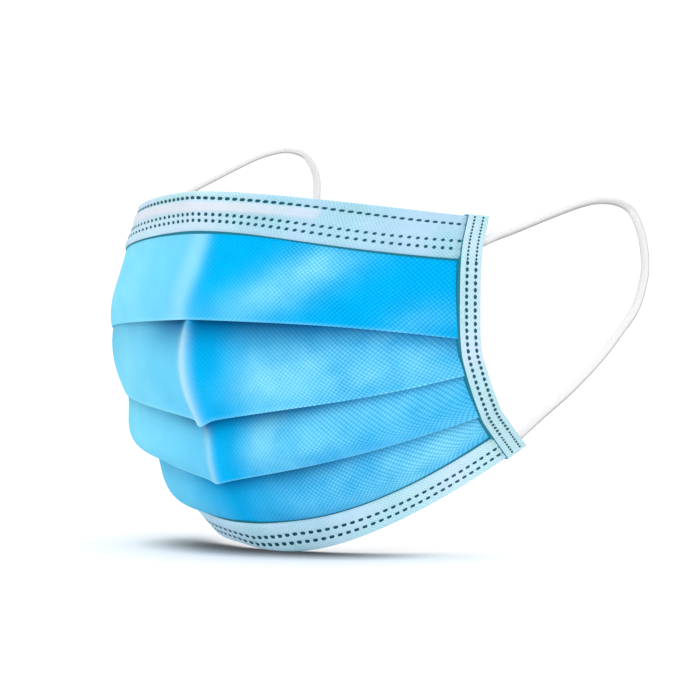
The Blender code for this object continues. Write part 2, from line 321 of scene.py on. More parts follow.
def build_ear_loop(name, route, twist, finish):
    """Rings are set square to the route. Each end is pressed flat, and goes on under a side tape's fold."""
    side = math.copysign(1, route[0][0])
    ends = []
    for end, (out, forward, rise) in ((route[0], UPPER_TUCK), (route[-1], LOWER_TUCK)):
        ends.append(Vector(end) + Vector((out * side, forward, rise)).normalized() * CORD_TUCK)
    points, length = even_route([ends[0], *route, ends[1]], CORD_RING_STEP)
    rows, maps = [], []
    for i, point in enumerate(points):
        ahead = (points[min(i + 1, len(points) - 1)] - points[max(i - 1, 0)]).normalized()
        aside = Vector((1, 0, 0))
        aside = (aside - ahead * aside.dot(ahead)).normalized()
        over = ahead.cross(aside)
        walked = length * i / (len(points) - 1)
        turn = twist_at(walked / length, twist)
        aside, over = (
            aside * math.cos(turn) + over * math.sin(turn),
            over * math.cos(turn) - aside * math.sin(turn),
        )
        full = fade(min(walked, length - walked), CORD_TUCK * 0.7, CORD_TUCK * 0.7 + CORD_SWELL)
        thin = CORD_FLAT + (CORD_THIN - CORD_FLAT) * full
        wide = CORD_WIDE + (1 - CORD_WIDE) * full
        if i in (0, len(points) - 1):
            thin, wide = 0.02, 0.9  # the cut end is pinched shut
        ring, places = [], []
        for step in range(CORD_SIDES + 1):
            angle = math.tau * step / CORD_SIDES
            radius = CORD_DIAMETER / 2 * (1 + RIB_RISE * math.cos(CORD_RIBS * angle))
            ring.append(point + (aside * math.cos(angle) * thin + over * math.sin(angle) * wide) * radius)
            places.append((step / CORD_SIDES, walked))
        rows.append(ring)
        maps.append(places)
    loop = grid_piece(name, rows, finish, maps)
    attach(loop, "root")
    return loop


elastic = elastic_material()
loop_left = build_ear_loop("elastic_loop_left", LEFT_LOOP, LEFT_TWIST, elastic)
loop_right = build_ear_loop("elastic_loop_right", RIGHT_LOOP, RIGHT_TWIST, elastic)
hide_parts("ear_loop_left")
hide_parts("ear_loop_right")

# BLUE OUTER CLOTH
# Azure spunbond, embossed with a fine grid of diamonds. It is laid in three folds that open downwards,
# each one doubled back behind its lip, and it is creased down the middle line where it was folded in half
# in the packet.
HALF_WIDTH = 0.0660
DEPTH = 0.0630
FRONT_HEIGHT = 0.1135
TAPE_THICKNESS = 0.0036  # how far in front of the origin the top tape's outer face lies
BINDING_TURN = 87  # degrees from straight sideways that the side tapes run on from the rails
BINDING_WIDTH = 0.0106

# Rails run from the middle line to the side tapes: the mask's edges, its bands' seams and its folds' lips.
# Back and drop are measured from the top edge at the nose, as shares of DEPTH and FRONT_HEIGHT, and out as
# a share of HALF_WIDTH. Turns are plan angles in degrees, pulls the lengths of the curve's handles as
# shares of the straight distance, and falls what the handles drop, as shares of FRONT_HEIGHT. Rise is the
# side tape's slope there.
Rail = namedtuple(
    "Rail",
    "ridge_back ridge_drop side_out side_back side_drop"
    " ridge_turn side_turn ridge_pull side_pull ridge_fall side_fall binding_rise",
)
RAILS = [
    Rail(0.000, 0.000, 0.950, 0.969, 0.063, 12, 81, 0.41, 0.47, 0.005, 0.020, -0.04),  # top edge
    Rail(0.007, 0.110, 1.012, 0.831, 0.187, 12, 72, 0.32, 0.66, 0.000, 0.030, -0.04),  # top band's seam
    Rail(-0.022, 0.354, 1.034, 0.798, 0.408, 12, 88, 0.43, 0.47, 0.008, 0.034, 0.00),  # first fold
    Rail(0.090, 0.641, 1.028, 0.856, 0.511, 10, 78, 0.37, 0.58, -0.047, -0.075, 0.20),  # second fold
    Rail(0.202, 0.814, 1.000, 1.004, 0.629, 11, 70, 0.33, 0.67, -0.050, -0.132, 0.34),  # third fold
    Rail(0.392, 0.937, 0.950, 1.175, 0.693, 11, 69, 0.14, 0.70, -0.014, -0.272, 0.42),  # bottom band's seam
    Rail(0.473, 1.000, 0.926, 1.322, 0.754, 11, 66, 0.15, 0.75, -0.011, -0.316, 0.46),  # bottom edge
]
RIDGE_SLOPE = math.tan(math.radians(12))

# Zones lie between the rails, from the top down. Swells are what a zone rounds outwards, as shares of
# DEPTH, at the ridge and over the cheeks, and belly is where down the zone it is greatest. The rest is in
# millimetres. Rounding is the width over which the middle crease is softened, crest and crest_width are
# the height and width of its pinched edge, and hollow is how far the zone starts below the lip above it.
Zone = namedtuple("Zone", "rows ridge_swell cheek_swell belly rounding crest crest_width hollow")
ZONES = [
    Zone(12, 0.000, 0.000, 0.50, 5.0, 0.4, 7.0, 0.0),
    Zone(22, 0.030, 0.030, 0.62, 5.0, 0.4, 7.0, 0.0),
    Zone(26, 0.070, 0.034, 0.42, 0.8, 1.3, 2.6, 1.9),
    Zone(20, 0.004, 0.088, 0.62, 0.6, 0.6, 3.0, 1.9),
    Zone(22, 0.000, 0.085, 0.60, 12.0, 2.4, 13.0, 1.9),
    Zone(12, 0.000, 0.000, 0.50, 12.0, 2.4, 13.0, 0.0),
]
TOP_BAND, UPPER_PANEL, MIDDLE_PANEL, LOWER_PANEL, CHIN_PANEL, BOTTOM_BAND = range(len(ZONES))
COLUMNS = 70  # on each side of the middle line
CLOTH_LEVEL = 0.0010  # how deep below the tapes' outer faces the cloth lies where it runs under them
LIP_PROUD = 0.0004  # how far a lip stands out past the tapes' outer faces
LIP_SUNK = 0.0005  # how deep it would lie if the folds had no relief
LIP_ROUND = 0.00035  # radius of the cloth's turn at a lip
FOLD_BACK = 0.0045  # how far the cloth is doubled back behind a lip
PLY = 0.00022
BEAK_DROP = 0.0011  # the middle panel's lip droops to a point where the crease crosses it
BEAK_WIDTH = 0.0024
BAND_TUCK = 0.0022  # how far the bottom band's edge is tucked in under the chin
CHIN_DROP = 0.0020  # and how far it hangs lower there, left of the middle
LIP_HIGHLIGHT = 0.35  # how much paler the cloth is painted at a lip, as a painted highlight

# Patches of painted light that make the blue cloth paler: the zone, the middle of the patch as shares along
# the rails and down the zone, its reach in the same shares, how far it leans towards the side on its way up,
# and its strength.
Patch = namedtuple("Patch", "zone along down reach_along reach_down lean strength")
LIT_PATCHES = [
    Patch(UPPER_PANEL, 0.36, 0.62, 0.14, 0.46, 0.55, 0.66),
    Patch(UPPER_PANEL, 0.58, 0.22, 0.10, 0.24, 0.30, 0.45),
    Patch(UPPER_PANEL, 0.86, 0.85, 0.10, 0.26, 0.30, 0.25),
    Patch(MIDDLE_PANEL, 0.34, 0.62, 0.17, 0.26, 0.30, 0.50),
    Patch(MIDDLE_PANEL, 0.66, 0.70, 0.16, 0.28, 0.30, 0.30),
    Patch(LOWER_PANEL, 0.25, 0.50, 0.11, 0.34, 0.10, 0.40),
    Patch(LOWER_PANEL, 0.52, 0.60, 0.12, 0.35, 0.15, 0.25),
    Patch(CHIN_PANEL, 0.86, 0.50, 0.22, 0.45, 0.15, 0.40),
]
# How much painted light pales the left side between its patches, and the right side all over, and how much
# paler that is towards its side tape.
LEFT_PALE = {MIDDLE_PANEL: 0.47, LOWER_PANEL: 0.48, CHIN_PANEL: 0.46}
RIGHT_PALE, RIGHT_END_PALE = 0.60, 0.26
# How far below its lip each zone's cloth is darkened with painted shade.
SHADE_REACHES = {MIDDLE_PANEL: 0.0072, LOWER_PANEL: 0.0038, CHIN_PANEL: 0.0046}


def bell(away, reach):
    """1 in the middle, with a smooth fall to both sides."""
    return math.exp(-((away / reach) ** 2))


def rail_columns():
    """Places along the rails from -1 to 1, closest together at the middle line."""
    shares = [i / COLUMNS for i in range(COLUMNS + 1)]
    half = [share * (0.42 + 0.58 * share) for share in shares]
    return [-along for along in half[:0:-1]] + half


def rail_handles(rail):
    nose = Vector((0, -TAPE_THICKNESS, FRONT_HEIGHT * RAILS[1].ridge_drop / 2))
    ridge = nose + Vector((0, rail.ridge_back * DEPTH, -rail.ridge_drop * FRONT_HEIGHT))
    side = nose + Vector((rail.side_out * HALF_WIDTH, rail.side_back * DEPTH, -rail.side_drop * FRONT_HEIGHT))
    reach = (side - ridge).to_2d().length
    handles = []
    for turn, pull, fall in (
        (rail.ridge_turn, rail.ridge_pull, rail.ridge_fall),
        (rail.side_turn, rail.side_pull, rail.side_fall),
    ):
        angle = math.radians(turn)
        out, back = pull * reach * math.cos(angle), pull * reach * math.sin(angle)
        handles.append(Vector((out, back, -fall * FRONT_HEIGHT)))
    return ridge, ridge + handles[0], side - handles[1], side


HANDLES = [rail_handles(rail) for rail in RAILS]


def rail_point(number, along):
    a, b, c, d = HANDLES[number]
    rest = 1 - along
    return rest**3 * a + 3 * rest**2 * along * b + 3 * rest * along**2 * c + along**3 * d


def zone_height(zone, along):
    return (rail_point(zone + 1, abs(along)) - rail_point(zone, abs(along))).length


def binding_direction(number):
    """The way that the side tape runs on from a rail's end."""
    angle = math.radians(BINDING_TURN)
    return Vector((math.cos(angle), math.sin(angle), RAILS[number].binding_rise)).normalized()


def on_rail(number, along, out):
    return rail_point(number, along) + binding_direction(number) * out


def base_skin(zone, down, along, out):
    """The smooth form under the folds. It runs straight from rail to rail at the ridge, and smoothly at the
    sides."""
    upper, lower = on_rail(zone, along, out), on_rail(zone + 1, along, out)
    above = on_rail(zone - 1, along, out) if zone > 0 else upper * 2 - lower
    below = on_rail(zone + 2, along, out) if zone + 2 < len(RAILS) else lower * 2 - upper
    smooth = smooth_between(above, upper, lower, below, down)
    return upper.lerp(lower, down).lerp(smooth, along**3)


def skin(zone, down, along, inset=0.0, out=0.0):
    """The point at this share down the zone and along its rails, at this depth below the tapes' outer faces.
    Along runs from -1 at the right side tape to 1 at the left one, and out goes on past it, over the side
    tape's width."""
    side = -1 if along < 0 else 1
    share = abs(along)
    row = ZONES[zone]
    step = 0.002
    here = base_skin(zone, down, share, out)
    onward = base_skin(zone, down, min(share + step, 1), out + (step * 0.05 if share + step > 1 else 0))
    before = base_skin(zone, down, max(share - step, 0), out)
    if out > 0:
        onward, before = here + binding_direction(zone).lerp(binding_direction(zone + 1), down), here
    lower, upper = (base_skin(zone, down + d, share, out) for d in (0.02, -0.02))
    normal = (lower - upper).cross(onward - before).normalized()
    swell = row.ridge_swell + (row.cheek_swell - row.ridge_swell) * fade(share, 0.0, 0.5)
    rise = math.sin(math.pi * min(max(down, 0), 1) ** (math.log(0.5) / math.log(row.belly)))
    height = swell * DEPTH * rise * (1 - share**3)
    away = here.x
    rounding = row.rounding / 1000
    height -= RIDGE_SLOPE * (math.sqrt(away**2 + rounding**2) - away)
    height += row.crest / 1000 * bell(away, row.crest_width / 1000)
    if share < 0.02:  # the two sides meet without a step at the middle line
        normal.x *= share / 0.02
        normal.normalize()
    point = here + normal * (height - inset)
    if zone == BOTTOM_BAND:
        lower_edge = max(down, 0) ** 1.5
        tuck = BAND_TUCK * lower_edge * (1 - fade(share, 0.35, 0.9))
        point -= Vector((normal.x, normal.y, 0)).normalized() * tuck
        point.z -= CHIN_DROP * lower_edge * fade(along, -0.3, 0.05) * (1 - fade(along, 0.2, 0.95))
    if zone in (MIDDLE_PANEL, LOWER_PANEL):
        near_lip = min(max(down if zone == MIDDLE_PANEL else 1 - down, 0), 1.2) ** 6
        point.z -= BEAK_DROP * bell(away, BEAK_WIDTH) * near_lip
    return Vector((side * point.x, point.y, point.z))


def hollow_at(zone, relief, flat):
    return ZONES[zone].hollow / 1000 * relief * (1 - flat) + CLOTH_LEVEL * 1.05 * flat


def under_tapes(level):
    """Where a ply runs on under the top tape, and under the bottom one."""
    above = [(TOP_BAND, 0.52 + 0.096 * i, level, UPPER_PANEL) for i in range(5)]
    below = [(BOTTOM_BAND, 0.13 * (i + 1), level, CHIN_PANEL) for i in range(5)]
    return above, below


def cloth_stations(along):
    """Down the blue cloth at this place along the rails, as (zone, share down, depth, panel). Each lip is a
    round turn, and behind it the cloth goes back up, turns again and comes down as the next panel."""
    flat = fade(abs(along), 0.80, 1.0)  # the folds lie flat where they run under the side tapes
    relief = 1 - 0.55 * fade(abs(along), 0.15, 0.55)
    stations, under_bottom = under_tapes(CLOTH_LEVEL)
    for zone in range(UPPER_PANEL, BOTTOM_BAND):
        row = ZONES[zone]
        height = zone_height(zone, along)
        hollow = CLOTH_LEVEL if zone == UPPER_PANEL else hollow_at(zone, relief, flat)
        lip = (LIP_SUNK - (LIP_PROUD + LIP_SUNK) * relief) * (1 - flat) + CLOTH_LEVEL * 0.5 * flat
        if zone == CHIN_PANEL:
            lip = CLOTH_LEVEL
        climb = (0.3, 1.0) if zone == UPPER_PANEL else (0.0, 0.85)
        for i in range(row.rows + 1):
            share = i / row.rows * (1.3 - 0.3 * i / row.rows)
            stations.append((zone, share, hollow + (lip - hollow) * fade(share, *climb), zone))
        if zone == CHIN_PANEL:
            continue
        turn = LIP_ROUND * (1 - 0.5 * (1 - relief) - 0.4 * flat)
        for i in range(1, 6):
            angle = math.pi * i / 5
            drop = turn * math.sin(angle) / height
            stations.append((zone, 1 + drop * 0.5, lip + turn * (1 - math.cos(angle)), zone))
        for i in range(1, 4):
            stations.append((zone, 1 - FOLD_BACK * i / 3 / height, lip + 2 * turn + 0.00008 * i, zone))
        next_level = hollow_at(zone + 1, relief, flat)
        middle = (lip + 2 * turn + 0.00024 + next_level) / 2
        stations.append((zone, 1 - FOLD_BACK * 1.06 / height, middle, zone))
        for i in range(3, 0, -1):
            stations.append((zone, 1 - FOLD_BACK * i / 3 / height, next_level, zone + 1))
    return stations + under_bottom


def painted_light_at(zone, down, along):
    """How much painted light pales the blue cloth here. The right side is pale all over, up to the crease
    down the middle.
    """
    left_from = (-0.05, 0.60) if zone >= CHIN_PANEL else (0.08, 0.28)
    pale = LEFT_PALE.get(zone, 0) * fade(along, *left_from)
    for patch in LIT_PATCHES:
        if patch.zone == zone:
            away = along - patch.along + patch.lean * (down - patch.down)
            pale += patch.strength * bell(away, patch.reach_along) * bell(down - patch.down, patch.reach_down)
    if zone in (MIDDLE_PANEL, LOWER_PANEL):
        right = 1 - fade(along, -0.012, 0.014)
    elif zone <= UPPER_PANEL:
        edge = 0.080 - 0.095 * min(max(down, 0), 1)
        right = 1.06 * (1 - fade(along, edge - 0.030, edge + 0.030))
    else:
        right = 0.75 * (1 - fade(along, -0.40, 0.05))
    # A painted highlight along each lip.
    lip = LIP_HIGHLIGHT * fade(down, 0.965, 0.985) if UPPER_PANEL <= zone <= LOWER_PANEL else 0.0
    far = RIGHT_END_PALE * fade(-along, 0.08, 0.45)
    return min(pale * (1 - right) + (RIGHT_PALE + far) * right + lip, 1)


def crease_at(zone, down, along):
    """How much painted highlight whitens the cloth along the crease down the middle."""
    if zone <= UPPER_PANEL:
        return 0.28 * bell(along - 0.030 + 0.075 * min(max(down, 0), 1), 0.05)
    crease_highlight = {MIDDLE_PANEL: 0.85 * fade(down, 0.0, 0.15), LOWER_PANEL: 0.45}.get(zone, 0.0)
    return crease_highlight * bell(along + 0.012, 0.022)


def shade_at(zone, down, along):
    """How much painted shade darkens the cloth here, below the lip that hangs over it."""
    if zone not in SHADE_REACHES:
        return 0.0
    below = max(down, 0) * zone_height(zone, along)
    side = 1 - 0.75 * fade(-along, 0.04, 0.32) if along < 0 else 1 - 0.35 * fade(along, 0.35, 0.95)
    crease = 1 - 0.6 * bell(along + 0.005, 0.02) if zone == MIDDLE_PANEL else 1.0
    reach = SHADE_REACHES[zone] * (1 - 0.5 * fade(along, 0.25, 0.8))
    return math.exp(-((below / reach) ** 1.6)) * side * crease


def blue_tones(zone, down, level, along):
    """The painted light, painted shade and painted crease highlight on the blue cloth here; behind a lip it
    is in full painted shade. The diamonds are pressed flatter on the right.
    """
    # Behind a lip the cloth is given full painted shade.
    behind_lip = level > 0.0012 and down > 0.9 and UPPER_PANEL <= zone <= LOWER_PANEL
    return {
        "Pale": painted_light_at(zone, down, along),
        "Shade": 1.0 if behind_lip else shade_at(zone, down, along),
        "Emboss": 0.22 + 0.33 * fade(along, -0.05, 0.10) + 0.45 * fade(along, 0.10, 0.60),
        "Crease": crease_at(zone, down, along),
    }


def paint(piece, tones):
    """Keep each tone's numbers, one for each point of the mesh, for its material to read."""
    for name in tones[0]:
        layer = piece.data.attributes.new(name, "FLOAT", "POINT")
        for index, tone in enumerate(tones):
            layer.data[index].value = tone[name]


def thicken(piece, thickness):
    """Give a sheet its thickness, inwards from its outer face."""
    bpy.context.view_layer.objects.active = piece
    wall = piece.modifiers.new("Thickness", "SOLIDIFY")
    wall.thickness = thickness
    wall.offset = -1
    bpy.ops.object.modifier_apply(modifier=wall.name)


def stretched(walk, along):
    """The place across the flat cloth at this distance from its middle. The cloth is drawn out where it is
    pulled into the side tapes, from 50 mm outwards."""
    return math.copysign(walk - 4 * max(walk - 0.05, 0) ** 2, along)


def lay_cloth(name, stations_at, finish, inward=False, tones_at=None):
    """A ply of cloth. The place of each point on the flat cloth is measured along its row, and up from its
    panel's lower edge, so the diamonds run level with the lips."""
    tuck = BINDING_WIDTH - 0.002
    columns = [(along, 0.0) for along in rail_columns()]
    columns = [(-1.0, tuck), (-1.0, tuck / 2), *columns, (1.0, tuck / 2), (1.0, tuck)]
    if not inward:
        columns = columns[::-1]
    per_column = [stations_at(along) for along, _ in columns]
    stations = per_column[0]
    rows, tones = [], []
    for r in range(len(stations)):
        row = []
        for (along, out), places in zip(columns, per_column):
            zone, down, level, _ = places[r]
            row.append(skin(zone, down, along, level, out))
            if tones_at:
                tones.append(tones_at(zone, down, level, along))
        rows.append(row)
    edges = {}
    for r, (zone, down, _, panel) in enumerate(stations):
        if zone == panel and (panel not in edges or down >= stations[edges[panel]][1]):
            edges[panel] = r
    falls = [distances(column) for column in zip(*rows)]
    middle = len(columns) // 2
    maps = []
    for r, row in enumerate(rows):
        walks = distances(row[middle::-1])[:0:-1] + distances(row[middle:])
        panel = stations[r][3]
        places = []
        for (along, _), walk, fall in zip(columns, walks, falls):
            places.append((stretched(walk, along), fall[edges[panel]] - fall[r] - 0.04 * panel))
        maps.append(places)
    piece = grid_piece(name, rows, finish, maps)
    if tones:
        paint(piece, tones)
    thicken(piece, PLY)
    return piece


def spunbond_group():
    """Embossed spunbond. Small diamonds of loose fibre stand up between crossed lines that are pressed
    flat."""
    group = bpy.data.node_groups.new("embossed_spunbond", "ShaderNodeTree")
    sockets = [("Vector", "INPUT", "NodeSocketVector"), ("Pitch", "INPUT", "NodeSocketFloat")]
    sockets += [(name, "OUTPUT", "NodeSocketFloat") for name in ("Pressed", "Fibres", "Cloud", "Height")]
    for name, way, kind in sockets:
        group.interface.new_socket(name, in_out=way, socket_type=kind)
    start = node(group, "NodeGroupInput", (-1600, 0))
    place = start.outputs["Vector"]
    turned = node(
        group,
        "ShaderNodeVectorRotate",
        (-1400, 100),
        rotation_type="Z_AXIS",
        Vector=place,
        Angle=math.radians(45),
    )
    split = node(group, "ShaderNodeSeparateXYZ", (-1200, 100), Vector=turned.outputs[0])
    waves = []
    for axis, level in (("X", 200), ("Y", 0)):
        turns = math_node(group, "DIVIDE", (-1000, level), split.outputs[axis], start.outputs["Pitch"])
        angle = math_node(group, "MULTIPLY", (-820, level), turns, math.pi)
        wave = math_node(group, "SINE", (-640, level), angle)
        waves.append(math_node(group, "ABSOLUTE", (-460, level), wave))
    product = math_node(group, "MULTIPLY", (-280, 100), *waves)
    pressed = ranged(group, (-100, 100), product, 0.75, 0.20, smooth=True)
    stretch = node(group, "ShaderNodeMapping", (-1200, -260), Vector=place, Scale=(0.35, 1.0, 1.0))
    fibres = node(group, "ShaderNodeTexNoise", (-1000, -260), Scale=2600.0, Detail=4.0, Roughness=0.65)
    feed(group, fibres.inputs["Vector"], stretch.outputs[0])
    cloud = node(group, "ShaderNodeTexNoise", (-1000, -520), Scale=85.0, Detail=5.0, Roughness=0.55)
    feed(group, cloud.inputs["Vector"], place)
    raised = math_node(group, "SUBTRACT", (100, 60), 1.0, pressed)
    height = math_node(group, "MULTIPLY_ADD", (300, 0), fibres.outputs[0], 0.35, raised)
    node(
        group,
        "NodeGroupOutput",
        (800, 0),
        Pressed=pressed,
        Fibres=fibres.outputs[0],
        Cloud=cloud.outputs[0],
        Height=height,
    )
    return group


spunbond = spunbond_group()
DIAMOND_DEPTH = 0.00008


def spunbond_material(name, pitch, specular):
    """A matt material with the spunbond effect, whose outputs come last."""
    made, tree, shader = new_material(name, 0.7, specular)
    uv = node(tree, "ShaderNodeUVMap", (-1200, 0), uv_map="Cloth")
    cloth = node(tree, "ShaderNodeGroup", (-1000, 0), node_tree=spunbond, Pitch=pitch)
    feed(tree, cloth.inputs["Vector"], uv.outputs["UV"])
    return made, tree, shader, cloth.outputs


def dyed(tree, cloth, pressed, colour, pressed_colour):
    """Spunbond in one colour. Its pressed lines are another colour, and its fibres lie thicker in places."""
    fine = ranged(tree, (-780, 260), cloth["Fibres"], 0.3, 0.7, 0.90, 1.06)
    patchy = ranged(tree, (-780, 520), cloth["Cloud"], 0.3, 0.7, 0.94, 1.05)
    plain = colour_mix(tree, (-560, 60), pressed, colour, pressed_colour)
    return scaled(tree, (-340, 160), plain, math_node(tree, "MULTIPLY", (-560, 360), fine, patchy))


def painted(tree, place, name):
    """The tone that was painted on the mesh under this name."""
    return node(tree, "ShaderNodeAttribute", place, attribute_name=name).outputs["Fac"]


def blue_material():
    """Azure spunbond. Painted light makes it paler in places, a painted highlight runs along its crease, and
    painted shade darkens it where a fold hangs over it."""
    made, tree, shader, cloth = spunbond_material("blue_cloth", 0.0011, 0.01)
    emboss = painted(tree, (-1200, 900), "Emboss")
    dip = math_node(tree, "MULTIPLY", (-1000, 900), cloth["Pressed"], emboss)
    plain = dyed(tree, cloth, dip, (0.0, 0.47, 0.90), (0.0, 0.34, 0.77))
    # Painted light: the cloth is mixed towards a paler blue, most on its raised diamonds, with soft clouds.
    raised = math_node(tree, "SUBTRACT", (-780, 900), 1.0, dip)
    raised = math_node(tree, "MULTIPLY_ADD", (-560, 900), raised, 0.60, 0.48)
    drift = ranged(tree, (-780, 1100), cloth["Cloud"], 0.35, 0.65, -0.34, 0.34)
    cloudy = math_node(tree, "MULTIPLY_ADD", (-400, 1300), drift, emboss, 0.96)
    patchy = math_node(tree, "MULTIPLY", (-560, 1100), cloudy, painted(tree, (-1000, 700), "Pale"))
    share = math_node(tree, "MULTIPLY", (-340, 800), raised, patchy, clamp=True)
    bright = colour_mix(tree, (-120, 500), share, plain, (0.25, 0.72, 0.90))
    # A painted highlight along the crease.
    crease_highlight = colour_mix(tree, (0, 700), painted(tree, (-340, 1100), "Crease"), bright, (0.46, 0.76, 0.93))
    # Painted shade below each lip, and behind it.
    shade = math_node(tree, "MULTIPLY", (-120, 760), painted(tree, (-560, 700), "Shade"), 0.95)
    dark = colour_mix(tree, (100, 500), shade, crease_highlight, (0.0, 0.085, 0.25))
    dress(tree, shader, dark, cloth["Height"], 0.5, DIAMOND_DEPTH)
    return made


outer_ply = lay_cloth("outer_ply", cloth_stations, blue_material(), tones_at=blue_tones)
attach(outer_ply, "root")
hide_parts("mask_body")

# WHITE LINING
# Plain white spunbond next to the face. It is pleated with the outer cloth, so from the inside its folds
# open upwards, a little above the outer cloth's lips. Its edges are held under the tapes.
LINING_LEVEL = 0.0028
INNER_LIP = 0.0011  # how far a fold's edge stands out towards the face


def lining_stations(along):
    flat = fade(abs(along), 0.80, 1.0)
    level = LINING_LEVEL - 0.0008 * flat
    proud = INNER_LIP + (0.0003 - INNER_LIP) * flat
    stations, under_bottom = under_tapes(level - 0.0006 * (1 - flat))
    for zone in range(UPPER_PANEL, BOTTOM_BAND):
        rows = ZONES[zone].rows
        height = zone_height(zone, along)
        start = level if zone == UPPER_PANEL else level + proud
        end = 1.0 if zone == CHIN_PANEL else 1 - 0.25 * FOLD_BACK / height
        for i in range(rows + 1):
            share = end * i / rows
            stations.append((zone, share, start + (level - start) * fade(share, 0.1, 0.8), zone))
        if zone == CHIN_PANEL:
            continue
        for i in range(1, 4):
            share = end - 0.75 * FOLD_BACK * i / 3 / height
            stations.append((zone, share, level + 0.00016 + 0.00004 * i, zone))
        top = 1 - FOLD_BACK / height
        for i in range(1, 5):
            angle = math.pi * i / 4
            lip = level + proud * 0.6 - (proud * 0.4 + 0.0001) * math.cos(angle)
            stations.append((zone, top - 0.0003 * math.sin(angle) / height, lip, zone))
        for i in (2, 1):
            stations.append((zone, 1 - FOLD_BACK * i / 3 / height, level + proud, zone + 1))
    return stations + under_bottom


white_cloth, white_tree, white_shader, white_weave = spunbond_material("white_cloth", 0.0010, 0.05)
white = dyed(white_tree, white_weave, white_weave["Pressed"], (0.80, 0.82, 0.84), (0.66, 0.69, 0.72))
dress(white_tree, white_shader, white, white_weave["Height"], 0.5, DIAMOND_DEPTH)
lining = lay_cloth("lining", lining_stations, white_cloth, inward=True)
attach(lining, "root")

# PALE TAPES
# Narrow pale-blue spunbond tapes, folded over the top and bottom edges and then over both sides. Each is
# welded through all layers along rows of small marks, and the wall between two rows stands up a little.
TAPE = 0.0003
FRONT_LEAF, BACK_LEAF = 0.00015, 0.0034  # the depths of a tape's two leaves
FOLD_TURN = 0.0011  # how far from the fold the leaves start
LEAF_STEPS = 36
EDGE_SINK = 0.0005  # how far a leaf's cut edge is drawn down on to the cloth
EDGE_WIDTH = 0.0006
DENT_WIDTH = 0.00055

# A band's rows of welds, as (share of its height at the middle line, the share towards its ends, the depth
# that the tape dips there in metres), and how far along the rails they reach the second share.
DENTS = {
    TOP_BAND: [(0.165, 0.25, 0.00025), (0.575, 0.665, 0.00022), (0.735, 0.83, 0.00022)],
    BOTTOM_BAND: [(0.22, 0.33, 0.00022), (0.46, 0.60, 0.00022)],
}
DENTS_REACH = {TOP_BAND: 0.8, BOTTOM_BAND: 0.35}

WIRE_FROM, WIRE_TO = 0.27, 0.50  # the nose wire's place down the top band, as shares of its height
WIRE_REACH = 0.52
WIRE_RISE = 0.00045
WIRE_PALE = 0.85  # how much paler the tape is over the wire
BOTTOM_LIGHT = 0.18  # how much brighter painted light makes the bottom tape, and half of that at its left end


def tape_material():
    """Pale spunbond, more violet in places. It is tinted darker on the left of the top tape, as painted
    shade, brighter on the bottom tape, as painted light, and paler over the nose wire."""
    made, tree, shader, cloth = spunbond_material("pale_tape", 0.00090, 0.05)
    plain = dyed(tree, cloth, cloth["Pressed"], (0.56, 0.79, 0.85), (0.38, 0.65, 0.74))
    place = node(tree, "ShaderNodeTexCoord", (-1200, 700)).outputs["Object"]
    drift = node(tree, "ShaderNodeTexNoise", (-1000, 700), Vector=place, Scale=38.0, Detail=2.0)
    violet = ranged(tree, (-780, 700), drift.outputs[0], 0.42, 0.62, 0.0, 0.55)
    tinted = colour_mix(tree, (-120, 400), violet, plain, (0.62, 0.72, 0.90))
    # Painted shade: the top tape is tinted darker towards its left.
    deep = painted(tree, (-340, 1000), "Tape_shade")
    tint = colour_mix(tree, (-120, 1000), deep, (1.0, 1.0, 1.0), (0.74, 0.86, 0.92))
    deeper = node(tree, "ShaderNodeVectorMath", (0, 800), operation="MULTIPLY")
    feed(tree, deeper.inputs[0], tinted)
    feed(tree, deeper.inputs[1], tint)
    # Painted light: the bottom tape is made brighter.
    lift = math_node(tree, "ADD", (-120, 1200), painted(tree, (-340, 1200), "Lift"), 1.0)
    lifted = scaled(tree, (60, 1000), deeper.outputs[0], lift)
    wire_share = math_node(tree, "MULTIPLY", (-120, 700), painted(tree, (-340, 700), "Wire"), 0.8)
    over_wire = colour_mix(tree, (100, 400), wire_share, lifted, (0.72, 0.71, 0.78))
    dress(tree, shader, over_wire, cloth["Height"], 0.6, DIAMOND_DEPTH)
    return made


pale_tape = tape_material()


def leaf_depth(away, width, dents, back):
    """The depth of a tape's front or back leaf. It dips where a row of welds, at dents, draws the leaves
    together."""
    sink = EDGE_SINK * bell(away - width, EDGE_WIDTH)
    for place, dip in dents:
        sink += dip * bell(away - place, DENT_WIDTH)
    return BACK_LEAF - sink if back else FRONT_LEAF + sink


def folded_profile(width, dents):
    """Across a tape folded over an edge, as (distance from the edge, depth). The front leaf comes first."""
    walk = [width - (width - FOLD_TURN) * i / LEAF_STEPS for i in range(LEAF_STEPS + 1)]
    front = [(away, leaf_depth(away, width, dents, False)) for away in walk]
    first = front[-1][1]
    middle = (first + BACK_LEAF) / 2
    fold = []
    for i in range(1, 9):
        angle = math.pi * i / 8
        fold.append((FOLD_TURN * (1 - math.sin(angle)), middle - (middle - first) * math.cos(angle)))
    return front + fold + [(away, leaf_depth(away, width, dents, True)) for away in walk[-2::-1]]


def wire_rise(down, along):
    """How far the top tape stands out over the nose wire inside it."""
    above = fade(down, WIRE_FROM - 0.05, WIRE_FROM + 0.04)
    below = 1 - fade(down, WIRE_TO - 0.04, WIRE_TO + 0.05)
    return WIRE_RISE * above * below * (1 - fade(abs(along), WIRE_REACH - 0.015, WIRE_REACH))


def dents_at(zone, along, height):
    outwards = min(abs(along) / DENTS_REACH[zone], 1)
    return [((a + (b - a) * outwards) * height, sink) for a, b, sink in DENTS[zone]]


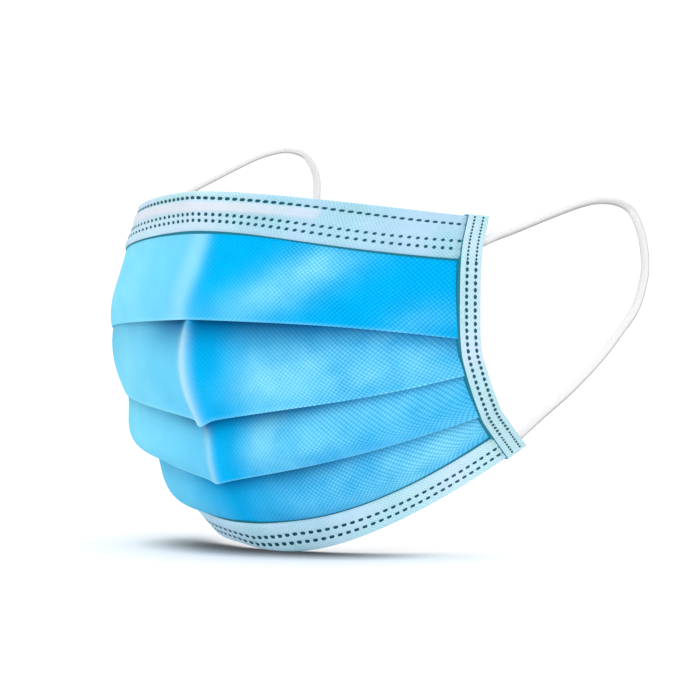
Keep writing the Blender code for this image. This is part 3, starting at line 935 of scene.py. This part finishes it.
def build_band(name, zone):
    """A tape folded over the mask's top or bottom edge, from one side tape to the other."""
    top = zone == TOP_BAND
    columns = rail_columns()[::-1] if top else rail_columns()
    middle = len(columns) // 2
    half = distances([rail_point(zone, abs(along)) for along in columns[middle:]])
    rows, maps, tones = [], [], []
    for along, walk in zip(columns, half[:0:-1] + half):
        height = zone_height(zone, along)
        # Painted shade on the left of the top tape.
        deep = fade(along, 0.05, 0.35) if top else 0.0
        # Painted light on the bottom tape, less at its left end.
        lift = 0.0 if top else BOTTOM_LIGHT * (1 - 0.5 * fade(along, 0.6, 0.9))
        strip = []
        for away, depth in folded_profile(height, dents_at(zone, along, height)):
            down = away / height if top else 1 - away / height
            rise = wire_rise(down, along) if top and depth < 0.001 else 0.0
            strip.append(skin(zone, down, along, depth - rise))
            pale = WIRE_PALE * (1 - 0.4 * fade(along, 0.1, 0.5)) * rise / WIRE_RISE
            tones.append({"Wire": pale, "Tape_shade": deep, "Lift": lift})
        rows.append(strip)
        maps.append([(math.copysign(walk, along), across) for across in distances(strip)])
    piece = grid_piece(name, rows, pale_tape, maps)
    paint(piece, tones)
    thicken(piece, TAPE)
    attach(piece, "root")
    return piece


top_tape = build_band("top_tape", TOP_BAND)
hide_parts("top_band")
bottom_tape = build_band("bottom_tape", BOTTOM_BAND)
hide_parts("bottom_band")

# NOSE WIRE
# A flat steel strip coated in white plastic, loose inside the top tape. Fine lines run along it from its
# extrusion.


def wire_material():
    made, tree, shader = new_material("coated_wire", 0.45)
    place = node(tree, "ShaderNodeTexCoord", (-1000, 0)).outputs["Object"]
    stretch = node(tree, "ShaderNodeMapping", (-800, 0), Vector=place, Scale=(0.05, 0.05, 1.0))
    lines = node(tree, "ShaderNodeTexNoise", (-600, 0), Vector=stretch.outputs[0], Scale=4000.0, Detail=2.0)
    colour = colour_mix(tree, (-300, 0), lines.outputs[0], (0.68, 0.70, 0.72), (0.82, 0.83, 0.84))
    feed(tree, shader.inputs["Base Color"], colour)
    return made


coated_wire = wire_material()
wire_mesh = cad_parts["nose_wire"].data
for index in range(len(wire_mesh.materials)):
    wire_mesh.materials[index] = coated_wire

# SIDE TAPES
# The same tape, folded over both side edges on top of the bands' ends. Its own ends are pressed shut, and
# two rows of welds run down it.
SIDE_DENTS = [(0.0032, 0.0002), (0.0072, 0.0002)]  # distance from its folded edge, and depth
SIDE_OVER = 0.0003  # how far the side tapes stand out over the bands
END_OPEN = 0.06  # how far apart the leaves still are at an end, as a share


def on_side_tape(zone, down, side, away, depth):
    """A point on a side tape, at this distance from its folded edge and this depth in the tape."""
    return skin(zone, down, side, depth - SIDE_OVER, max(BINDING_WIDTH - away, 1e-6))


def build_side_tape(name, side):
    """A side tape, from its top end down."""
    stations = [(TOP_BAND, -0.03, END_OPEN)]
    for zone, row in enumerate(ZONES):
        stations += [(zone, step / row.rows, 1.0) for step in range(row.rows + (zone == BOTTOM_BAND))]
    stations.append((BOTTOM_BAND, 1.04, END_OPEN))
    middle = (FRONT_LEAF + BACK_LEAF) / 2
    rows = []
    for zone, down, open_share in stations:
        strip = []
        for away, depth in folded_profile(BINDING_WIDTH, SIDE_DENTS):
            depth = middle + (depth - middle) * open_share
            strip.append(on_side_tape(zone, down, side, away, depth))
        rows.append(strip)
    walks = distances([strip[0] for strip in rows])
    maps = [[(walk, across) for across in distances(strip)] for walk, strip in zip(walks, rows)]
    if side > 0:
        rows, maps = rows[::-1], maps[::-1]
    piece = grid_piece(name, rows, pale_tape, maps)
    thicken(piece, TAPE)
    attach(piece, "root")
    return piece


side_tape_left = build_side_tape("side_tape_left", 1)
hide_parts("side_binding_left")
side_tape_right = build_side_tape("side_tape_right", -1)
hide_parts("side_binding_right")

# WELD MARKS AND SEAMS
# The ultrasonic welds press all the layers into one, which shows as rows of small dark marks. The tapes'
# cut edges are melted to the cloth in a thin dark line.
WELD_COLOUR = (0.001, 0.050, 0.070)
SEAM_COLOUR = (0.0, 0.11, 0.16)
WELD_OVER = 0.00005  # how far a mark's face stands over the tape
MARK_SIDES = 10
BAND_SQUARENESS = 0.7  # 1 is an oval mark, and less is squarer


def weld_material(name, colour):
    """Cloth that was melted to a glassy film, with the roughness of the roller that pressed it."""
    made, tree, shader = new_material(name, 0.5, 0.2)
    place = node(tree, "ShaderNodeTexCoord", (-900, 0)).outputs["Object"]
    rough = node(tree, "ShaderNodeTexNoise", (-700, 0), Vector=place, Scale=1500.0, Detail=2.0).outputs[0]
    film = colour_mix(tree, (-400, 100), rough, colour, tuple(c * 2.2 for c in colour))
    dress(tree, shader, film, rough, 0.3, 0.00005)
    return made


melted = weld_material("melted_weld", WELD_COLOUR)
melted_seam = weld_material("melted_seam", SEAM_COLOUR)


def mark_shape(squareness=1.0):
    """A mark's middle and then its outline, as shares of its half length and half width."""
    shape = [(0.0, 0.0)]
    for i in range(MARK_SIDES):
        angle = math.tau * i / MARK_SIDES
        sizes = (math.cos(angle), math.sin(angle))
        shape.append([math.copysign(abs(size) ** squareness, size) for size in sizes])
    return shape


def marks_piece(name, marks):
    """Flat marks, each a fan of faces round its middle, that faces outwards on the leaf that it is on."""
    points, faces = [], []
    for outline, way in marks:
        start = len(points)
        points += [tuple(p) for p in outline]
        for i in range(MARK_SIDES):
            face = (start, start + 1 + i, start + 1 + (i + 1) % MARK_SIDES)
            faces.append(face[::way])
    mesh = bpy.data.meshes.new(name)
    mesh.from_pydata(points, [], faces)
    mesh.materials.append(melted)
    piece = placed(name, mesh)
    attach(piece, "root")


def look_up(table, wanted):
    """The place at this distance, in a table of (place, distance)."""
    for (a, da), (b, db) in zip(table, table[1:]):
        if db >= wanted:
            return a + (b - a) * (wanted - da) / (db - da)
    return table[-1][0]


def weld_row(zone, row, pitch, growth, length, width):
    """A row of marks along both leaves of a band, from its middle out to both side tapes. The pitch grows a
    little outwards."""
    top = zone == TOP_BAND
    start = DENTS[zone][row][0]
    places = [i / 120 for i in range(121)]
    table = list(zip(places, distances([skin(zone, start if top else 1 - start, place) for place in places])))
    count = 0
    while (count + 1) * pitch + (count + 1) ** 2 * growth < table[-1][1] - length / 2:
        count += 1
    marks = []
    for number in range(-count, count + 1):
        middle = math.copysign(abs(number) * pitch + number**2 * growth, number)
        front, back = [], []
        for run, rise in mark_shape(BAND_SQUARENESS):
            at = middle + run * length / 2
            along = math.copysign(look_up(table, abs(at)), at)
            height = zone_height(zone, along)
            dents = dents_at(zone, along, height)
            away = dents[row][0] + rise * width / 2 * (-1 if top else 1)
            down = away / height if top else 1 - away / height
            front.append(skin(zone, down, along, leaf_depth(away, height, dents, False) - WELD_OVER))
            back.append(skin(zone, down, along, leaf_depth(away, height, dents, True) + WELD_OVER))
        marks += [(front, 1), (back, -1)]
    return marks


# Each band's rows, as (pitch, how much the pitch grows with each mark, a mark's length and its width).
BAND_WELDS = [
    ("top_welds", TOP_BAND, [(0.00262, 5e-6, 0.0018, 0.00105)] + [(0.00262, 5e-6, 0.0013, 0.0011)] * 2),
    ("bottom_welds", BOTTOM_BAND, [(0.0028, 0.0, 0.0017, 0.0011)] * 2),
]
for name, zone, sizes in BAND_WELDS:
    marks_piece(name, [mark for row, size in enumerate(sizes) for mark in weld_row(zone, row, *size)])


def down_side(steps):
    """Places down the mask's side edge, as (zone, share down)."""
    places = [(zone, step / steps) for zone in range(len(ZONES)) for step in range(steps)]
    return places + [(BOTTOM_BAND, 1.0)]


def side_walk():
    """Distances down the middle of a side tape, as (zone and share down, distance)."""
    places = down_side(20)
    points = [skin(zone, down, 1.0, 0.0, BINDING_WIDTH / 2) for zone, down in places]
    return list(zip([zone + down for zone, down in places], distances(points)))


SIDE_WALK = side_walk()


def side_welds(name, side):
    """Two rows of marks down both leaves of a side tape. They are smaller and closer over the bands."""
    band_ends = [walk for place, walk in SIDE_WALK if place in (UPPER_PANEL, BOTTOM_BAND)]
    marks = []
    for dent, _ in SIDE_DENTS:
        at = 0.0009
        while at < SIDE_WALK[-1][1] - 0.0006:
            over_band = at < band_ends[0] or at > band_ends[1]
            size, pitch = (0.0010, 0.00135) if over_band else (0.00148, 0.00213)
            front, back = [], []
            for run, rise in mark_shape():
                place = look_up(SIDE_WALK, at + run * size / 2)
                zone = min(int(place), BOTTOM_BAND)
                away = dent + rise * size / 2
                depths = [leaf_depth(away, BINDING_WIDTH, SIDE_DENTS, is_back) for is_back in (False, True)]
                front.append(on_side_tape(zone, place - zone, side, away, depths[0] - WELD_OVER))
                back.append(on_side_tape(zone, place - zone, side, away, depths[1] + WELD_OVER))
            marks += [(front, -side), (back, side)]
            at += pitch
    marks_piece(name, marks)


side_welds("side_welds_left", 1)
side_welds("side_welds_right", -1)


def loop_welds(name, side, route):
    """Small groups of marks on the inner leaf, over the tucked ends of an ear loop."""
    marks = []
    for end in (Vector(route[0]), Vector(route[-1])):
        zone, share = min(
            down_side(40)[:-1],
            key=lambda place: (skin(*place, side, BACK_LEAF, BINDING_WIDTH) - end).length,
        )
        height = (skin(zone, 1.0, side) - skin(zone, 0.0, side)).length
        for spot in range(6):
            column, row = spot // 2, spot % 2
            outline = []
            for run, rise in mark_shape():
                down = share + (0.0009 * (2 * row - 1) + run * 0.00045) / height
                away = 0.0043 + 0.0009 * column + rise * 0.00035
                depth = leaf_depth(away, BINDING_WIDTH, SIDE_DENTS, True) + WELD_OVER
                outline.append(on_side_tape(zone, down, side, away, depth))
            marks.append((outline, side))
    marks_piece(name, marks)


loop_welds("loop_welds_left", 1, LEFT_LOOP)
loop_welds("loop_welds_right", -1, RIGHT_LOOP)

SEAM_WIDTH = 0.00095
SEAM_UNDER = 0.0001  # how far it starts under the tape's cut edge
SEAM_OVER = 0.00008  # how far it stands over the cloth
SEAM_CLIMB = 0.0002  # and how much further at its start
SIDE_SEAM_OVER = 0.00006


def seam_line(name, lines):
    """A thin line of melted cloth, through rows of points that run along it or across it."""
    piece = grid_piece(name, lines, melted_seam)
    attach(piece, "root")


for name, zone in (("top_seam", UPPER_PANEL), ("bottom_seam", CHIN_PANEL)):
    lines = []
    for i in range(3):
        off = SEAM_WIDTH * i / 2 - SEAM_UNDER
        depth = CLOTH_LEVEL - SEAM_OVER - (0.0 if i else SEAM_CLIMB)
        if zone == UPPER_PANEL:
            line = [skin(zone, off / zone_height(zone, a), a, depth) for a in rail_columns()[::-1]]
        else:
            line = [skin(zone, 1 - off / zone_height(zone, a), a, depth) for a in rail_columns()]
        lines.append(line)
    seam_line(name, lines)
for name, side in (("side_seam_left", 1), ("side_seam_right", -1)):
    lines = []
    for zone, down in down_side(16):
        line = []
        for away in (BINDING_WIDTH - 0.0005, BINDING_WIDTH - 0.00025, BINDING_WIDTH):
            depth = leaf_depth(away, BINDING_WIDTH, SIDE_DENTS, False) - SIDE_SEAM_OVER
            line.append(on_side_tape(zone, down, side, away, depth))
        line.append(skin(zone, down, side * 0.9965, 0.0009))
        lines.append(line[::side])
    seam_line(name, lines)

# STUDIO
# A pale floor just under the chin, and soft light from both sides of the front and from above. Where the
# mask is close above it the floor is darkened by a painted contact shadow, which only the camera sees.
FLOOR_LEVEL = -0.1086
FLOOR_REACH = 6


def floor_finish():
    made, tree, shader = new_material("floor_white", 0.95, 0.0)
    # Painted contact shadow: the floor's colour darkens where the mask is close above it, for camera rays
    # only.
    crevice = node(tree, "ShaderNodeAmbientOcclusion", (-600, 0), samples=16, Distance=0.025)
    open_share = ranged(tree, (-400, 0), crevice.outputs["AO"], 0.25, 0.95, smooth=True)
    seen = node(tree, "ShaderNodeLightPath", (-600, 300)).outputs["Is Camera Ray"]
    unseen = math_node(tree, "SUBTRACT", (-400, 300), 1.0, seen)
    lit = math_node(tree, "MAXIMUM", (-200, 300), unseen, open_share)
    colour = colour_mix(tree, (-200, 0), lit, (0.17, 0.145, 0.14), (0.95, 0.92, 0.91))
    feed(tree, shader.inputs["Base Color"], colour)
    return made


floor_mesh = bpy.data.meshes.new("floor")
floor_corners = [(-FLOOR_REACH, -FLOOR_REACH), (FLOOR_REACH, -FLOOR_REACH)]
floor_corners += [(FLOOR_REACH, FLOOR_REACH), (-FLOOR_REACH, FLOOR_REACH)]
floor_mesh.from_pydata([(x, y, FLOOR_LEVEL) for x, y in floor_corners], [], [(0, 1, 2, 3)])
floor_mesh.materials.append(floor_finish())
floor = placed("floor", floor_mesh)

# The backdrop shows white, and lights the mask with less than half of that.
world = bpy.data.worlds.new("studio")
world.use_nodes = True
backdrop = world.node_tree.nodes["Background"]
backdrop.inputs["Color"].default_value = (1, 1, 1, 1)
seen = node(world.node_tree, "ShaderNodeLightPath", (-400, 0)).outputs["Is Camera Ray"]
brightness = math_node(world.node_tree, "MULTIPLY_ADD", (-200, 0), seen, 0.64, 0.41)
feed(world.node_tree, backdrop.inputs["Strength"], brightness)
bpy.context.scene.world = world


def soft_light(name, place, width, strength):
    """A soft light that reaches all the floor alike, from the direction of this place. Width is its angle."""
    data = bpy.data.lights.new(name, "SUN")
    data.angle = math.radians(width)
    data.energy = strength
    placed(name, data).rotation_euler = Vector(place).to_track_quat("Z", "Y").to_euler()


soft_light("key", (-0.75, -0.75, 0.08), 28, 0.42)
soft_light("fill", (1.2, -0.66, 0.04), 30, 1.30)
soft_light("overhead", (-0.02, -0.03, 1.0), 105, 2.78)
